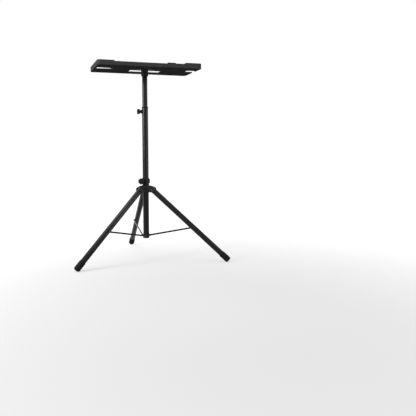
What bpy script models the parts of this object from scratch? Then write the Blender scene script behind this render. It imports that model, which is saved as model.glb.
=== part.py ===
"""Stand-up desk for indoor cycling: a moulded tray on a telescopic mast with a folding tripod.

Metres, +Z up, standing on the floor at Z = 0. The rider is on the -Y side and the tray's
width lies along X. Everything is placed about the mast's axis, and the whole stand is then
shifted so that the origin lies under the middle of its outline on the floor.
"""

import math

import bmesh
import bpy
from mathutils import Matrix, Vector

# Tripod
LEG_LENGTH = 0.606
LEG_SPREAD_DEG = 48.7
LEG_AZIMUTHS_DEG = {"left": 210.0, "rear": 90.0, "right": 330.0}
LEG_TUBE_OD = 0.032
LEG_TUBE_WALL = 0.0012
LEG_PIVOT_RADIUS = 0.0443
LEG_TOP_PAST_PIVOT = 0.0095
LEG_PLUG_DOME = 0.0035
LEG_PLUG_DEPTH = 0.0055
LEG_RIVET_RADIUS = 0.003
LEG_RIVET_HEAD_RADIUS = 0.0055
LEG_RIVET_HEAD = 0.002
LEG_PLUG_CHAMFER = 0.0008
FOOT_WALL = 0.0018
FOOT_GRIP = 0.046
FOOT_END = 0.012
FOOT_ROUNDING = 0.010
FOOT_LIP = 0.0016
FOOT_FLAT = 0.001

# Stays between the mast's foot and the legs
STAY_LENGTH = 0.2727
STAY_ON_LEG = 0.326
STAY_INNER_RADIUS = 0.022
STAY_WIDTH = 0.0095
STAY_THICKNESS = 0.005
STAY_SHEET = 0.0012
STAY_PIN_RADIUS = 0.0025
STAY_HEAD_RADIUS = 0.0045
STAY_HEAD_THICKNESS = 0.002
STAY_PIN_HEAD_RADIUS = 0.0033
STAY_PIN_HEAD = 0.0012
STAY_LUG_THICKNESS = 0.0037
STAY_LUG_HEIGHT = 0.012
COLLAR_HEIGHT = 0.019
COLLAR_WALL = 0.0013

# Mast
OUTER_TUBE_OD = 0.035
OUTER_TUBE_WALL = 0.0012
OUTER_TUBE_LENGTH = 0.758
INNER_TUBE_OD = 0.030
INNER_TUBE_WALL = 0.0012
INNER_TUBE_LENGTH = 0.600
INNER_TUBE_SHOWN = 0.1745
TUBE_BELOW_STAYS = 0.0116
PLUG_FLANGE = 0.004
PLUG_OD = 0.037
PLUG_DEPTH = 0.018
PLUG_WALL = 0.002
PLUG_CHAMFER = 0.0012
BUSH_FLANGE_OD = 0.0395
BUSH_FLANGE = 0.006
BUSH_DEPTH = 0.045
BUSH_CHAMFER = 0.0015
GLIDE_HEIGHT = 0.020
GLIDE_FLANGE = 0.006
GLIDE_WALL = 0.002
GLIDE_CHAMFER = 0.001

# Height lock: a knob with a screw through a boss on the outer tube
LOCK_BELOW_TOP = 0.021
LOCK_SCREW_RADIUS = 0.004
LOCK_SCREW_CHAMFER = 0.001
LOCK_BOSS_RADIUS = 0.011
LOCK_BOSS_REACH = 0.008
LOCK_KNOB_RADIUS = 0.016
LOCK_KNOB_LENGTH = 0.020
LOCK_KNOB_NECK = 0.0085
SCREW_SHARE_IN_KNOB = 0.6

# Hub that slides on the outer tube and carries the legs
HUB_SLEEVE_WALL = 0.0016
HUB_BOTTOM = 0.0125
HUB_SHOULDER = 0.026
HUB_ARM_TOP = 0.0165
HUB_ARM_PAST_PIVOT = 0.0142
HUB_CHEEK = 0.0032
HUB_CORE_RADIUS = 0.030
HUB_TOP = 0.072
CLAMP_BOLT_HEIGHT = 0.0525
CLAMP_BOLT_OFFSET = 0.0313
CLAMP_BOLT_RADIUS = 0.003
CLAMP_SPLIT = 0.002
CLAMP_EAR_THICKNESS = 0.0065
CLAMP_EAR_HEIGHT = 0.026
CLAMP_EAR_PAST_BOLT = 0.0075
CLAMP_KNOB_RADIUS = 0.0185
CLAMP_KNOB_LENGTH = 0.024
CLAMP_KNOB_NECK = 0.0075
CLAMP_KNOB_LOBES = 7
CLAMP_BOLT_END = 0.002
CLAMP_NUT_RADIUS = 0.0056
CLAMP_NUT_THICKNESS = 0.005
HUB_PAD_REACH = 0.0240
HUB_PAD_WIDTH = 0.010
HUB_CONE = 0.006
HUB_CONE_LIP = 0.003
HUB_ARM_CORNER = (0.007, 0.002, 0.003, 0.008)
CLAMP_EAR_CORNER = (0.004, 0.006)
CLAMP_EAR_ROOT = 0.003
CLAMP_EAR_SLOPE = 0.001
HUB_SINK = 0.001
HUB_SLOT_PAST_SHOULDER = 0.002
SPLIT_ABOVE_SHOULDER = 0.004

# Socket under the tray
SOCKET_OD = 0.041
SOCKET_DEPTH = 0.030
SOCKET_FLANGE = 0.004
SOCKET_PLATE = (0.096, 0.052)
SOCKET_PLATE_FORWARD = 0.034
SOCKET_PLATE_CORNER = 0.010
SOCKET_FLARE = 0.003
SOCKET_SCREWS = (0.076, 0.034)
SOCKET_LOCK_DROP = 0.021
SOCKET_LOCK_RADIUS = 0.003
SOCKET_BOSS_RADIUS = 0.007
SOCKET_BOSS_REACH = 0.006
SOCKET_KNOB_RADIUS = 0.011
SOCKET_KNOB_LENGTH = 0.014
SOCKET_KNOB_NECK = 0.006
SOCKET_CHAMFER = 0.0015

# Tray screws
SCREW_RADIUS = 0.002
SCREW_HEAD_RADIUS = 0.004
SCREW_HEAD = 0.0022
SCREW_BITE = 0.0030

# Tray
TRAY_WIDTH = 0.580
TRAY_DEPTH = 0.344
TRAY_CENTRE_Y = -0.006
TRAY_CORNER = 0.016
TRAY_EDGE_ROUND = 0.0022
TRAY_RIM = 0.0237
TRAY_HIGH_RIM = 0.0274
TRAY_WALL = 0.0045
TRAY_DECK = 0.0045
TRAY_SKIRT = 0.0032
TRAY_RIB_DROP = 0.0024
TRAY_RIB = 0.003
TRAY_RIB_ROOT = 0.001
TRAY_LOW_LIP = 0.005
TRAY_SLOT_LIP = 0.0032
TRAY_BACK_LIP = 0.0030
TRAY_LIP_PAST_WALL = 0.002
TRAY_DIVIDER = 0.003
TRAY_POCKET_CORNER = 0.007
TRAY_LEFT_BAY = 0.110
TRAY_LEFT_LIP = 0.087
TRAY_RIGHT_BAY = 0.0835
TRAY_BOTTLE_DEPTH = 0.104
TRAY_RAISED_LIP = (0.093, 0.139)
TRAY_RIB_Y = -0.113
TRAY_RIB_X = (-0.100, 0.1145)
LEFT_SLOT_X = (-0.274, -0.184)
LEFT_SLOT_Y = (-0.034, 0.038)
LEFT_SLOT_TAPER = 0.012
CENTRE_SLOT_X = (-0.080, 0.103)
CENTRE_SLOT_Y = (0.0225, 0.1085)
NOTCH_WIDTH = 0.052
NOTCH_Y = (-0.055, 0.017)
SLOT_CORNER = 0.008

GAP = 0.0003
CUT_PAST = 0.02
ROUND = 24
SMALL_ROUND = 12

# Sizes worked out from those above
SPREAD = math.radians(LEG_SPREAD_DEG)
FOOT_RADIUS = LEG_TUBE_OD / 2 + GAP + FOOT_WALL
PIVOT_Z = (
    (LEG_LENGTH - FOOT_ROUNDING) * math.cos(SPREAD)
    + (FOOT_RADIUS - FOOT_ROUNDING) * math.sin(SPREAD)
    + FOOT_ROUNDING
    - FOOT_FLAT
)
STAY_OUTER_R = LEG_PIVOT_RADIUS + STAY_ON_LEG * math.sin(SPREAD)
STAY_OUTER_Z = PIVOT_Z - STAY_ON_LEG * math.cos(SPREAD)
STAY_RUN = STAY_OUTER_R - STAY_INNER_RADIUS
STAY_RISE = math.sqrt(STAY_LENGTH**2 - STAY_RUN**2)
STAY_INNER_Z = STAY_OUTER_Z - STAY_RISE
STAY_ANGLE = math.atan2(STAY_RUN, STAY_RISE)
STAY_INNER_FACE = LEG_TUBE_OD / 2 + GAP
STAY_OUTER_FACE = STAY_INNER_FACE + STAY_THICKNESS
TUBE_BOTTOM = STAY_INNER_Z - TUBE_BELOW_STAYS
TUBE_TOP = TUBE_BOTTOM + OUTER_TUBE_LENGTH
OUTER_R = OUTER_TUBE_OD / 2
OUTER_BORE = OUTER_R - OUTER_TUBE_WALL
INNER_R = INNER_TUBE_OD / 2
INNER_BORE = INNER_R - INNER_TUBE_WALL
BUSH_TOP = TUBE_TOP + GAP + BUSH_FLANGE
SOCKET_BOTTOM = BUSH_TOP + INNER_TUBE_SHOWN
SOCKET_CEILING = SOCKET_BOTTOM + SOCKET_DEPTH
TRAY_Z = SOCKET_CEILING + SOCKET_FLANGE + GAP
INNER_TOP = SOCKET_CEILING - GAP
INNER_BOTTOM = INNER_TOP - INNER_TUBE_LENGTH
LOCK_Z = TUBE_TOP - LOCK_BELOW_TOP
CHEEK_INNER = LEG_TUBE_OD / 2 + GAP
CHEEK_OUTER = CHEEK_INNER + HUB_CHEEK
LEG_SWEEP = math.hypot(LEG_TUBE_OD / 2, LEG_TOP_PAST_PIVOT + LEG_PLUG_DOME / 2)
HUB_SLOT_START = LEG_PIVOT_RADIUS - LEG_SWEEP - 3 * GAP
SLEEVE_BORE = OUTER_R + GAP
SLEEVE_R = SLEEVE_BORE + HUB_SLEEVE_WALL
EAR_OUTER = CLAMP_SPLIT / 2 + CLAMP_EAR_THICKNESS


def clear_scene():
    for obj in list(bpy.data.objects):
        bpy.data.objects.remove(obj, do_unlink=True)


def make_material(name, colour, roughness, metallic=0.0):
    material = bpy.data.materials.new(name)
    material.use_nodes = True
    shader = material.node_tree.nodes["Principled BSDF"]
    shader.inputs["Base Color"].default_value = (*colour, 1.0)
    shader.inputs["Roughness"].default_value = roughness
    shader.inputs["Metallic"].default_value = metallic
    return material


def rounded_rectangle(low_x, low_y, high_x, high_y, radius, steps=4):
    """Outline of a rectangle with round corners, anticlockwise."""
    corners = (
        (high_x - radius, low_y + radius, -90),
        (high_x - radius, high_y - radius, 0),
        (low_x + radius, high_y - radius, 90),
        (low_x + radius, low_y + radius, 180),
    )
    points = []
    for x, y, start in corners:
        for i in range(steps + 1):
            angle = math.radians(start + 90 * i / steps)
            points.append((x + radius * math.cos(angle), y + radius * math.sin(angle)))
    return points


def rounded_polygon(corners, radius, steps=4):
    """A convex outline, given anticlockwise, with its corners rounded off."""
    points = []
    for i, corner_at in enumerate(corners):
        here = Vector(corner_at)
        back = (Vector(corners[i - 1]) - here).normalized()
        ahead = (Vector(corners[(i + 1) % len(corners)]) - here).normalized()
        half_angle = back.angle(ahead) / 2
        centre = here + (back + ahead).normalized() * radius / math.sin(half_angle)
        start = here + back * radius / math.tan(half_angle) - centre
        sweep = math.pi - 2 * half_angle
        for step in range(steps + 1):
            turn_by = sweep * step / steps
            x = start.x * math.cos(turn_by) - start.y * math.sin(turn_by)
            y = start.x * math.sin(turn_by) + start.y * math.cos(turn_by)
            points.append((centre.x + x, centre.y + y))
    return points


def outward(bm):
    """Turns a closed mesh's faces to the outside."""
    bmesh.ops.recalc_face_normals(bm, faces=bm.faces)
    if bm.calc_volume(signed=True) < 0:
        bmesh.ops.reverse_faces(bm, faces=bm.faces)
    return bm


def loft(rings):
    """A closed mesh through rings of equally many points, with flat ends."""
    bm = bmesh.new()
    loops = [[bm.verts.new(point) for point in ring] for ring in rings]
    for lower, upper in zip(loops, loops[1:]):
        for i in range(len(lower)):
            j = (i + 1) % len(lower)
            bm.faces.new((lower[i], lower[j], upper[j], upper[i]))
    bm.faces.new(reversed(loops[0]))
    bm.faces.new(loops[-1])
    return outward(bm)


def prism(outline, low, high):
    """An outline in X and Y, extruded along Z."""
    return loft([[(x, y, z) for x, y in outline] for z in (low, high)])


def turned(profile, count=ROUND):
    """A solid turned about Z. A profile that starts and ends on the axis is open, others close."""
    bm = bmesh.new()
    verts = [bm.verts.new((r, 0.0, z)) for r, z in profile]
    edges = [bm.edges.new(pair) for pair in zip(verts, verts[1:])]
    if profile[0][0] > 0:
        edges.append(bm.edges.new((verts[-1], verts[0])))
    bmesh.ops.rotate(bm, verts=verts, matrix=Matrix.Rotation(math.pi / count, 3, "Z"))
    bmesh.ops.spin(
        bm,
        geom=verts + edges,
        axis=(0, 0, 1),
        cent=(0, 0, 0),
        angle=2 * math.pi,
        steps=count,
        use_merge=True,
    )
    bmesh.ops.remove_doubles(bm, verts=bm.verts, dist=1e-6)
    return outward(bm)


def box(low, high):
    outline = [(low[0], low[1]), (high[0], low[1]), (high[0], high[1]), (low[0], high[1])]
    return prism(outline, low[2], high[2])


def joined(parts):
    """One mesh that holds several separate closed ones."""
    total = bmesh.new()
    for part in parts:
        mesh = bpy.data.meshes.new("shape")
        part.to_mesh(mesh)
        part.free()
        total.from_mesh(mesh)
        bpy.data.meshes.remove(mesh)
    return total


def moved(bm, matrix):
    bm.transform(matrix)
    return bm


def along(direction):
    """Turns +Z to point along a direction."""
    return Vector(direction).to_track_quat("Z", "Y").to_matrix().to_4x4()


def make_object(name, bm, material, parent):
    mesh = bpy.data.meshes.new(name)
    bm.to_mesh(mesh)
    bm.free()
    mesh.materials.append(material)
    mesh.shade_smooth()
    mesh.set_sharp_from_angle(angle=math.radians(32))
    obj = bpy.data.objects.new(name, mesh)
    bpy.context.scene.collection.objects.link(obj)
    obj.parent = parent
    return obj


def make_empty(name, parent, matrix):
    empty = bpy.data.objects.new(name, None)
    empty.empty_display_size = 0.05
    bpy.context.scene.collection.objects.link(empty)
    empty.parent = parent
    empty.matrix_local = matrix
    return empty


def shape_with(obj, bm, operation, label):
    """Cuts or joins a hidden wire shape, given in the object's own frame."""
    mesh = bpy.data.meshes.new(label)
    bm.to_mesh(mesh)
    bm.free()
    tool = bpy.data.objects.new(label, mesh)
    bpy.context.scene.collection.objects.link(tool)
    tool.parent = obj
    tool.hide_render = True
    tool.display_type = "WIRE"
    modifier = obj.modifiers.new(label, "BOOLEAN")
    modifier.operation = operation
    modifier.object = tool
    modifier.solver = "EXACT"


def cut(obj, bm, label):
    shape_with(obj, bm, "DIFFERENCE", label)


def join(obj, bm, label):
    shape_with(obj, bm, "UNION", label)


def rod(radius, low, high, count=SMALL_ROUND):
    return turned([(0, low), (radius, low), (radius, high), (0, high)], count)


def rod_along(direction, centre, radius, low, high, count=SMALL_ROUND):
    """A cylinder along a direction through a centre, from low to high along it."""
    return moved(rod(radius, low, high, count), Matrix.Translation(centre) @ along(direction))


def ring_profile(inner, outer, low, high):
    return [(inner, low), (outer, low), (outer, high), (inner, high)]


def lobed_ring(radius, lobes, depth, z, count):
    """A star knob's outline at one height."""
    points = []
    for i in range(count):
        angle = 2 * math.pi * i / count
        r = radius - depth * (0.5 - 0.5 * math.cos(lobes * angle))
        points.append((r * math.cos(angle), r * math.sin(angle), z))
    return points


def star_knob(radius, length, neck, lobes=6):
    """A lobed hand knob along +Z from 0, its neck first and its outer face rounded."""
    count = lobes * 6
    depth = 0.16 * radius
    waist = 0.30 * length
    rings = [
        lobed_ring(neck, lobes, 0.0, 0.0, count),
        lobed_ring(neck, lobes, 0.0, waist, count),
        lobed_ring(radius, lobes, depth, waist + 0.10 * length, count),
        lobed_ring(radius, lobes, depth, 0.86 * length, count),
        lobed_ring(0.84 * radius, lobes, 0.8 * depth, length, count),
    ]
    return loft(rings)


def rivet(radius, head_radius, head, low, high, count=SMALL_ROUND):
    """A shank from low to high along Z, with a domed head past each end."""
    edge = 0.35 * head
    profile = [
        (0, low - head),
        (head_radius - 2 * edge, low - head),
        (head_radius, low - edge),
        (head_radius, low),
        (radius, low),
        (radius, high),
        (head_radius, high),
        (head_radius, high + edge),
        (head_radius - 2 * edge, high + head),
        (0, high + head),
    ]
    return turned(profile, count)


clear_scene()

steel = make_material("black_powder_coat", (0.022, 0.022, 0.023), 0.38, 0.0)
zinc = make_material("zinc_plated_steel", (0.55, 0.55, 0.54), 0.35, 1.0)
black_fastener = make_material("blackened_steel", (0.03, 0.03, 0.032), 0.40, 0.6)
plastic = make_material("black_moulded_plastic", (0.024, 0.024, 0.025), 0.50)
tray_plastic = make_material("tray_plastic", (0.050, 0.051, 0.053), 0.46)
rubber = make_material("black_rubber", (0.012, 0.012, 0.012), 0.75)

stand = make_empty("stand", None, Matrix.Identity(4))


# Outer mast tube, its end plug and the top bush
mast_outer_tube = make_object(
    "mast_outer_tube",
    turned(ring_profile(OUTER_BORE, OUTER_R, TUBE_BOTTOM, TUBE_TOP)),
    steel,
    stand,
)
LEFT = (-1, 0, 0)
lock_centre = (0, 0, LOCK_Z)
cut(
    mast_outer_tube,
    rod_along(LEFT, lock_centre, LOCK_SCREW_RADIUS + GAP, OUTER_BORE / 2, OUTER_R * 1.5),
    "outer_tube_lock_hole",
)

plug_top = TUBE_BOTTOM + PLUG_DEPTH
plug_r = OUTER_BORE - GAP
flange_bottom = TUBE_BOTTOM - GAP - PLUG_FLANGE
mast_end_plug = make_object(
    "mast_end_plug",
    turned(
        [
            (0, flange_bottom),
            (PLUG_OD / 2 - PLUG_CHAMFER, flange_bottom),
            (PLUG_OD / 2, flange_bottom + PLUG_CHAMFER),
            (PLUG_OD / 2, TUBE_BOTTOM - GAP),
            (plug_r, TUBE_BOTTOM - GAP),
            (plug_r, plug_top),
            (plug_r - PLUG_WALL, plug_top),
            (plug_r - PLUG_WALL, TUBE_BOTTOM),
            (0, TUBE_BOTTOM),
        ]
    ),
    plastic,
    stand,
)

bush_outer = OUTER_BORE - GAP
bush_bore = INNER_R + GAP
tube_bush = make_object(
    "tube_bush",
    turned(
        [
            (bush_bore, TUBE_TOP - BUSH_DEPTH),
            (bush_outer, TUBE_TOP - BUSH_DEPTH),
            (bush_outer, TUBE_TOP + GAP),
            (BUSH_FLANGE_OD / 2, TUBE_TOP + GAP),
            (BUSH_FLANGE_OD / 2, BUSH_TOP - BUSH_CHAMFER),
            (BUSH_FLANGE_OD / 2 - BUSH_CHAMFER, BUSH_TOP),
            (bush_bore, BUSH_TOP),
        ]
    ),
    plastic,
    stand,
)
cut(
    tube_bush,
    rod_along(LEFT, lock_centre, LOCK_SCREW_RADIUS + GAP, bush_bore / 2, OUTER_R * 1.5),
    "bush_lock_hole",
)


# Height lock on the left of the outer tube
boss_end = OUTER_R + LOCK_BOSS_REACH
height_lock_boss = make_object(
    "height_lock_boss",
    rod_along(LEFT, lock_centre, LOCK_BOSS_RADIUS, OUTER_R * 0.5, boss_end, ROUND),
    steel,
    stand,
)
cut(
    height_lock_boss,
    turned(
        [
            (0, LOCK_Z - 2 * LOCK_BOSS_RADIUS),
            (OUTER_R + GAP, LOCK_Z - 2 * LOCK_BOSS_RADIUS),
            (OUTER_R + GAP, LOCK_Z + 2 * LOCK_BOSS_RADIUS),
            (0, LOCK_Z + 2 * LOCK_BOSS_RADIUS),
        ]
    ),
    "boss_saddle",
)
cut(
    height_lock_boss,
    rod_along(LEFT, lock_centre, LOCK_SCREW_RADIUS + GAP, OUTER_R * 0.25, 2 * boss_end),
    "boss_hole",
)

height_lock = make_empty("height_lock", stand, Matrix.Translation(lock_centre) @ along(LEFT))
knob_start = boss_end + GAP
screw_in_knob = knob_start + SCREW_SHARE_IN_KNOB * LOCK_KNOB_LENGTH
height_lock_knob = make_object(
    "height_lock_knob",
    moved(
        star_knob(LOCK_KNOB_RADIUS, LOCK_KNOB_LENGTH, LOCK_KNOB_NECK),
        Matrix.Translation((0, 0, knob_start)),
    ),
    plastic,
    height_lock,
)
cut(
    height_lock_knob,
    rod(LOCK_SCREW_RADIUS + GAP, 0.9 * knob_start, screw_in_knob + GAP),
    "height_knob_bore",
)
screw_tip = INNER_R + GAP
height_lock_screw = make_object(
    "height_lock_screw",
    turned(
        [
            (0, screw_tip),
            (LOCK_SCREW_RADIUS - LOCK_SCREW_CHAMFER, screw_tip),
            (LOCK_SCREW_RADIUS, screw_tip + LOCK_SCREW_CHAMFER),
            (LOCK_SCREW_RADIUS, screw_in_knob),
            (0, screw_in_knob),
        ],
        SMALL_ROUND,
    ),
    zinc,
    height_lock,
)


# Stay collar at the mast's foot, with a lug and a pin for each stay
collar_bottom = STAY_INNER_Z - COLLAR_HEIGHT / 2
collar_r = OUTER_R + GAP + COLLAR_WALL
stay_collar = make_object(
    "stay_collar",
    turned(ring_profile(OUTER_R + GAP, collar_r, collar_bottom, collar_bottom + COLLAR_HEIGHT)),
    steel,
    stand,
)
lug_outer = STAY_INNER_FACE - GAP
lug_inner = lug_outer - STAY_LUG_THICKNESS


def lug_outline():
    """A tab seen from the side, in radius and height, round about the stay's pin."""
    half = STAY_LUG_HEIGHT / 2
    points = [(OUTER_R * 0.3, STAY_INNER_Z - half), (STAY_INNER_RADIUS, STAY_INNER_Z - half)]
    for i in range(1, 8):
        angle = math.radians(-90 + 180 * i / 8)
        x = STAY_INNER_RADIUS + half * math.cos(angle)
        points.append((x, STAY_INNER_Z + half * math.sin(angle)))
    points.append((STAY_INNER_RADIUS, STAY_INNER_Z + half))
    points.append((OUTER_R * 0.3, STAY_INNER_Z + half))
    return points


# Stands an outline drawn in X and Y upright, so that its Y becomes height and -Z becomes Y
UPRIGHT = Matrix.Rotation(math.pi / 2, 4, "X")


def upright_prism(outline, low, high):
    """An outline in radius and height, extruded tangentially from low to high."""
    return moved(prism(outline, -high, -low), UPRIGHT)


for label, azimuth in LEG_AZIMUTHS_DEG.items():
    turn = Matrix.Rotation(math.radians(azimuth), 4, "Z")
    lug = upright_prism(lug_outline(), lug_inner, lug_outer)
    join(stay_collar, moved(lug, turn), "collar_lug_" + label)
cut(
    stay_collar,
    turned(
        [
            (0, collar_bottom - COLLAR_HEIGHT),
            (OUTER_R + GAP, collar_bottom - COLLAR_HEIGHT),
            (OUTER_R + GAP, collar_bottom + 2 * COLLAR_HEIGHT),
            (0, collar_bottom + 2 * COLLAR_HEIGHT),
        ]
    ),
    "collar_bore",
)

stay_pin_shape = rivet(
    STAY_PIN_RADIUS,
    STAY_PIN_HEAD_RADIUS,
    STAY_PIN_HEAD,
    lug_inner - GAP,
    STAY_OUTER_FACE + GAP,
)
for label, azimuth in LEG_AZIMUTHS_DEG.items():
    turn = Matrix.Rotation(math.radians(azimuth), 4, "Z")
    centre = (STAY_INNER_RADIUS, 0, STAY_INNER_Z)
    hole = rod_along((0, 1, 0), centre, STAY_PIN_RADIUS + GAP, lug_inner * 0.8, lug_outer * 1.4)
    cut(stay_collar, moved(hole, turn), "collar_pin_hole_" + label)
    place = turn @ Matrix.Translation(centre) @ along((0, 1, 0))
    make_object("stay_pin_" + label, moved(stay_pin_shape.copy(), place), black_fastener, stand)
stay_pin_shape.free()


# Stays: pressed steel strips, dished on the side that faces the leg
def strip(half_width, length, low, high):
    """A round-ended bar along Z from pivot to pivot, extruded tangentially from low to high."""
    points = []
    for i in range(7):
        angle = math.radians(180 * i / 6)
        points.append((half_width * math.cos(angle), length + half_width * math.sin(angle)))
    for i in range(7):
        angle = math.radians(180 + 180 * i / 6)
        points.append((half_width * math.cos(angle), half_width * math.sin(angle)))
    return upright_prism(points, low, high)


stay_web = STAY_OUTER_FACE - STAY_SHEET
for label, azimuth in LEG_AZIMUTHS_DEG.items():
    turn = Matrix.Rotation(math.radians(azimuth), 4, "Z")
    place = (
        turn
        @ Matrix.Translation((STAY_INNER_RADIUS, 0, STAY_INNER_Z))
        @ Matrix.Rotation(STAY_ANGLE, 4, "Y")
    )
    pivot = make_empty("stay_pivot_" + label, stand, place)
    half = STAY_WIDTH / 2
    stay = make_object(
        "stay_" + label,
        strip(half, STAY_LENGTH, STAY_INNER_FACE, STAY_OUTER_FACE),
        steel,
        pivot,
    )
    cut(
        stay,
        strip(half - STAY_SHEET, STAY_LENGTH, STAY_INNER_FACE * 0.9, stay_web),
        "stay_dish_" + label,
    )
    for end, height in (("inner", 0.0), ("outer", STAY_LENGTH)):
        hole = rod_along(
            (0, 1, 0),
            (0, 0, height),
            STAY_PIN_RADIUS + GAP,
            STAY_INNER_FACE * 0.9,
            STAY_OUTER_FACE * 1.1,
        )
        cut(stay, hole, "stay_%s_hole_%s" % (end, label))
    collar = half - STAY_SHEET - GAP
    make_object(
        "stay_rivet_" + label,
        moved(
            turned(
                [
                    (0, STAY_INNER_FACE),
                    (collar, STAY_INNER_FACE),
                    (collar, stay_web - GAP),
                    (STAY_PIN_RADIUS, stay_web - GAP),
                    (STAY_PIN_RADIUS, STAY_OUTER_FACE + GAP),
                    (STAY_HEAD_RADIUS, STAY_OUTER_FACE + GAP),
                    (STAY_HEAD_RADIUS, STAY_OUTER_FACE + 0.4 * STAY_HEAD_THICKNESS),
                    (STAY_HEAD_RADIUS * 0.6, STAY_OUTER_FACE + STAY_HEAD_THICKNESS),
                    (0, STAY_OUTER_FACE + STAY_HEAD_THICKNESS),
                ],
                SMALL_ROUND,
            ),
            Matrix.Translation((0, 0, STAY_LENGTH)) @ along((0, 1, 0)),
        ),
        black_fastener,
        pivot,
    )


# Hub: a sleeve with a split clamp above and three forked arms below
hub_slide = make_empty("hub_slide", stand, Matrix.Translation((0, 0, PIVOT_Z)))
leg_hub = make_object(
    "leg_hub",
    turned(
        [
            (SLEEVE_BORE * 0.5, -HUB_BOTTOM),
            (HUB_CORE_RADIUS, -HUB_BOTTOM),
            (HUB_CORE_RADIUS, HUB_ARM_TOP),
            (HUB_CORE_RADIUS - HUB_CONE, HUB_SHOULDER),
            (SLEEVE_R, HUB_SHOULDER + HUB_CONE_LIP),
            (SLEEVE_R, HUB_TOP),
            (SLEEVE_BORE * 0.5, HUB_TOP),
        ]
    ),
    plastic,
    hub_slide,
)


def arm_outline():
    """A hub arm seen from the side, in radius and height."""
    tip = LEG_PIVOT_RADIUS + HUB_ARM_PAST_PIVOT
    back, nose, rise, side = HUB_ARM_CORNER
    return [
        (SLEEVE_BORE * 0.6, -HUB_BOTTOM),
        (tip - back, -HUB_BOTTOM),
        (tip - nose, -HUB_BOTTOM + rise),
        (tip, -HUB_BOTTOM + side),
        (tip, HUB_ARM_TOP - side),
        (tip - nose, HUB_ARM_TOP - rise),
        (tip - back, HUB_ARM_TOP),
        (HUB_CORE_RADIUS - 0.7 * HUB_CONE, HUB_SHOULDER - HUB_SINK),
        (SLEEVE_BORE * 0.6, HUB_SHOULDER - HUB_SINK),
    ]


for label, azimuth in LEG_AZIMUTHS_DEG.items():
    turn = Matrix.Rotation(math.radians(azimuth), 4, "Z")
    arm = upright_prism(arm_outline(), -CHEEK_OUTER, CHEEK_OUTER)
    join(leg_hub, moved(arm, turn), "hub_arm_" + label)

ear_low = CLAMP_BOLT_HEIGHT - CLAMP_EAR_HEIGHT / 2
ear_high = CLAMP_BOLT_HEIGHT + CLAMP_EAR_HEIGHT / 2
ear_reach = CLAMP_BOLT_OFFSET + CLAMP_EAR_PAST_BOLT
ear_back, ear_rise = CLAMP_EAR_CORNER
ear_root = SLEEVE_R + CLAMP_EAR_ROOT
ear_outline = [
    (-SLEEVE_BORE * 0.8, ear_low - CLAMP_EAR_ROOT),
    (-ear_root, ear_low - CLAMP_EAR_ROOT),
    (-ear_reach + ear_back, ear_low + CLAMP_EAR_SLOPE),
    (-ear_reach, ear_low + ear_rise),
    (-ear_reach, ear_high - ear_rise),
    (-ear_reach + ear_back, ear_high - CLAMP_EAR_SLOPE),
    (-ear_root, ear_high + CLAMP_EAR_ROOT),
    (-SLEEVE_BORE * 0.8, ear_high + CLAMP_EAR_ROOT),
]
join(leg_hub, upright_prism(list(reversed(ear_outline)), -EAR_OUTER, EAR_OUTER), "clamp_ears")
pad = box(
    (SLEEVE_R * 0.93, -HUB_PAD_WIDTH / 2, ear_low),
    (HUB_PAD_REACH, HUB_PAD_WIDTH / 2, ear_high),
)
join(leg_hub, pad, "clamp_pad")
bolt_centre = (-CLAMP_BOLT_OFFSET, 0, CLAMP_BOLT_HEIGHT)
FRONT = (0, -1, 0)
slots_cut = []
holes_cut = [
    rod_along(FRONT, bolt_centre, CLAMP_BOLT_RADIUS + GAP, -2 * EAR_OUTER, 2 * EAR_OUTER)
]
for label, azimuth in LEG_AZIMUTHS_DEG.items():
    turn = Matrix.Rotation(math.radians(azimuth), 4, "Z")
    slot = box(
        (HUB_SLOT_START, -CHEEK_INNER, -2 * HUB_BOTTOM),
        (2 * LEG_PIVOT_RADIUS, CHEEK_INNER, HUB_SHOULDER + HUB_SLOT_PAST_SHOULDER),
    )
    slots_cut.append(moved(slot, turn))
    centre = (LEG_PIVOT_RADIUS, 0, 0)
    hole = rod_along(
        (0, 1, 0), centre, LEG_RIVET_RADIUS + GAP, -1.5 * CHEEK_OUTER, 1.5 * CHEEK_OUTER
    )
    holes_cut.append(moved(hole, turn))
cut(leg_hub, joined(slots_cut), "hub_slots")
cut(leg_hub, joined(holes_cut), "hub_holes")
cut(
    leg_hub,
    box(
        (-2 * ear_reach, -CLAMP_SPLIT / 2, HUB_SHOULDER + SPLIT_ABOVE_SHOULDER),
        (-SLEEVE_BORE * 0.7, CLAMP_SPLIT / 2, 1.5 * HUB_TOP),
    ),
    "clamp_split",
)
cut(
    leg_hub,
    turned(
        [
            (0, -2 * HUB_BOTTOM),
            (SLEEVE_BORE, -2 * HUB_BOTTOM),
            (SLEEVE_BORE, 1.5 * HUB_TOP),
            (0, 1.5 * HUB_TOP),
        ]
    ),
    "hub_bore",
)

leg_rivet_shape = rivet(
    LEG_RIVET_RADIUS,
    LEG_RIVET_HEAD_RADIUS,
    LEG_RIVET_HEAD,
    -CHEEK_OUTER - GAP,
    CHEEK_OUTER + GAP,
)
for label, azimuth in LEG_AZIMUTHS_DEG.items():
    turn = Matrix.Rotation(math.radians(azimuth), 4, "Z")
    place = turn @ Matrix.Translation((LEG_PIVOT_RADIUS, 0, 0)) @ along((0, 1, 0))
    make_object("leg_rivet_" + label, moved(leg_rivet_shape.copy(), place), black_fastener, hub_slide)
leg_rivet_shape.free()

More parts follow.
